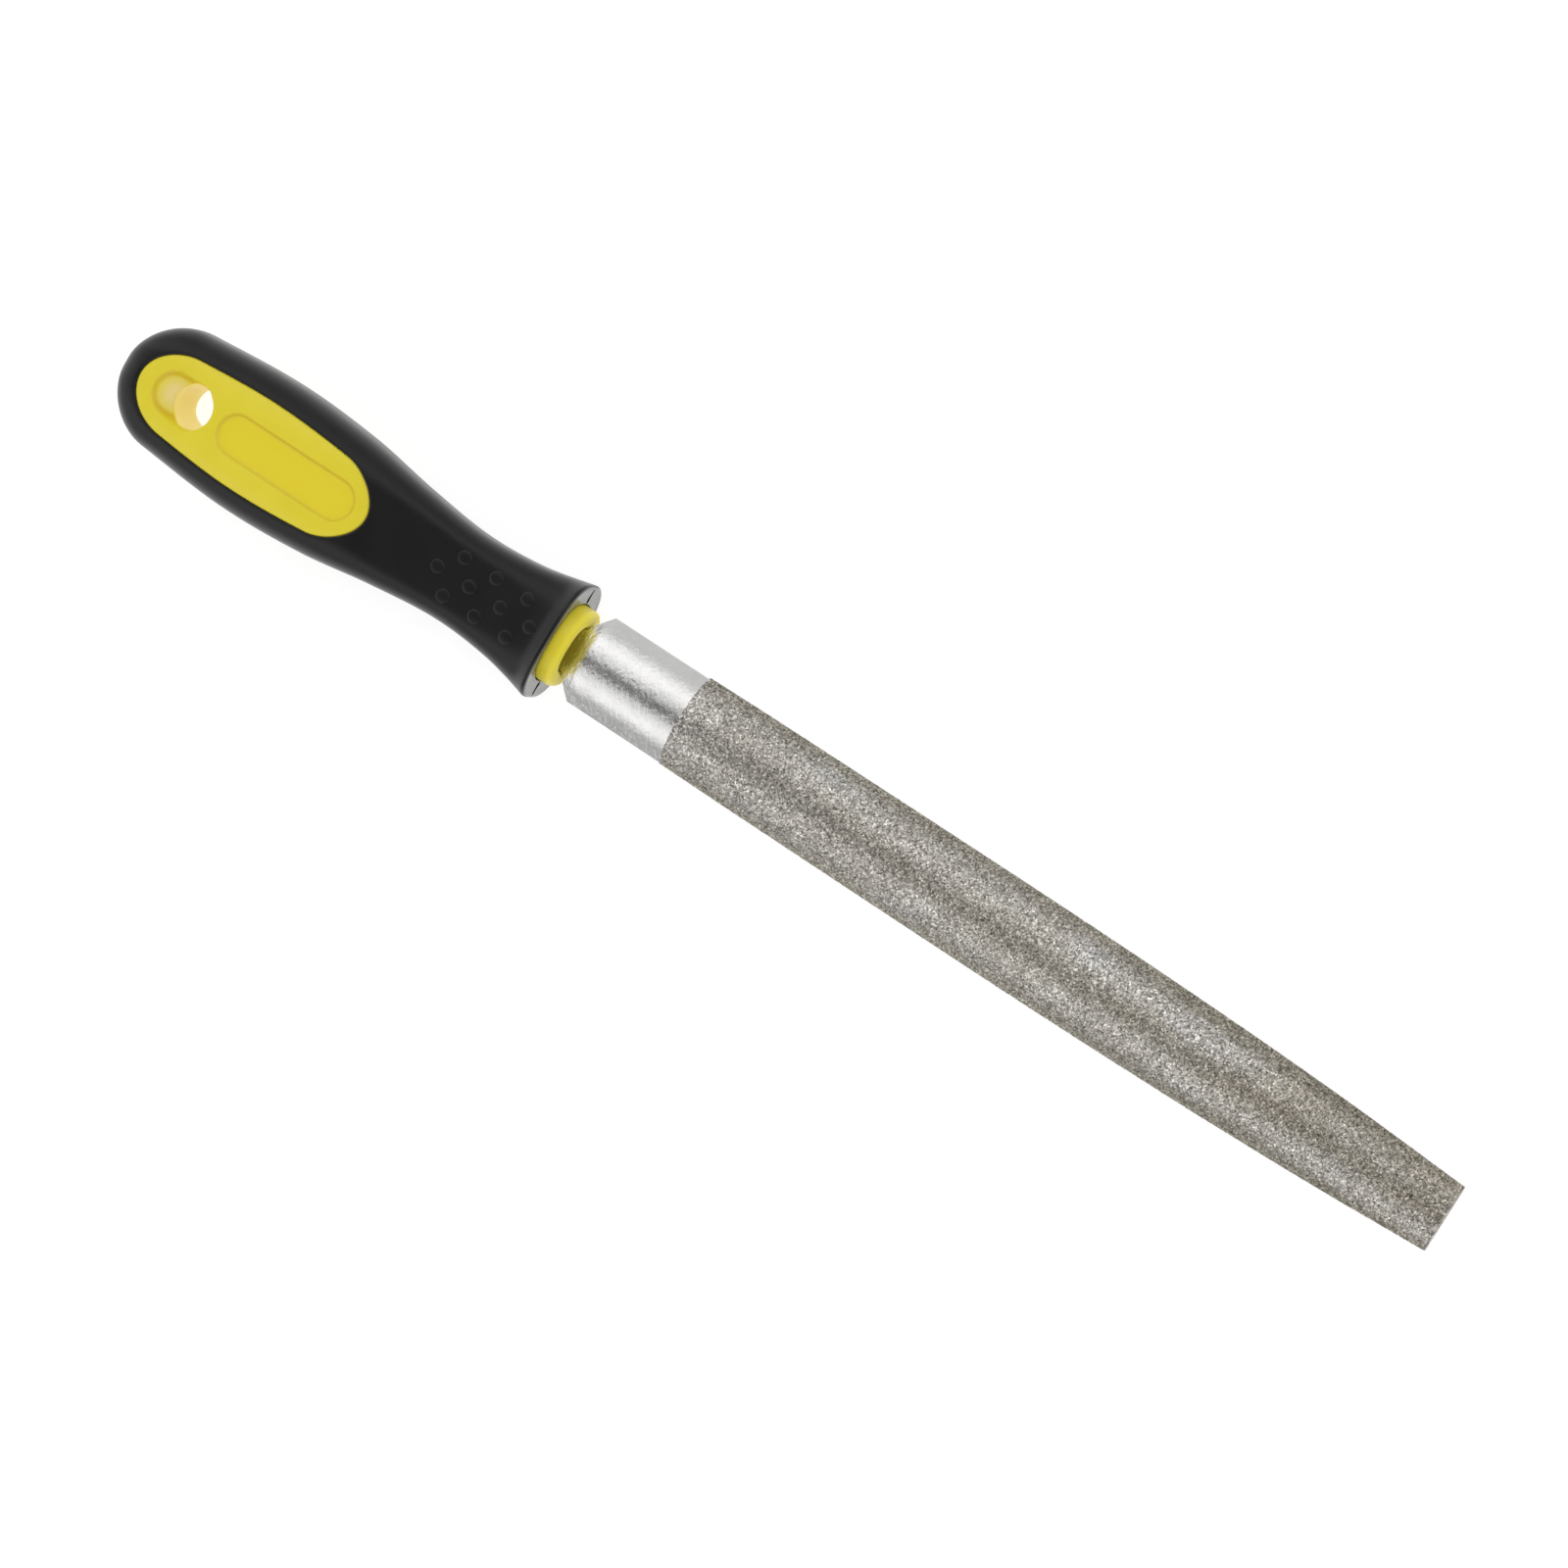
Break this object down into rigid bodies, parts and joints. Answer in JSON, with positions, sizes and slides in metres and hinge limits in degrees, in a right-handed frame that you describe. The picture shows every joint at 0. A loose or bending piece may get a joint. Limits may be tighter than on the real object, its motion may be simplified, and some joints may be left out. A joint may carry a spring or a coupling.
{
  "type": "half-round diamond file",
  "caption": "Half-round hand file with a diamond-coated steel blade, a bare shank and a two-component plastic handle with a hang hole.",
  "frame": {"origin": "bottom centre of the whole file's box: under the middle of its length and width, at its lowest point", "axes": "+X from the handle's butt to the blade's tip, +Z from the flat filing face towards the crowned side, +Y across the width"},
  "size_m": [0.3149, 0.0292, 0.0194],
  "materials": {
    "bare_steel": "ground across its width, bright",
    "diamond_grit": "electroplated nickel with diamond grit, sparkling and rough",
    "yellow_plastic": "satin moulded",
    "black_elastomer": "fine matt moulded"
  },
  "bodies": {
    "root": {"blade": "bare_steel", "diamond_coat": "diamond_grit", "handle_core": "yellow_plastic", "handle_grip": "black_elastomer"}
  },
  "joints": []
}
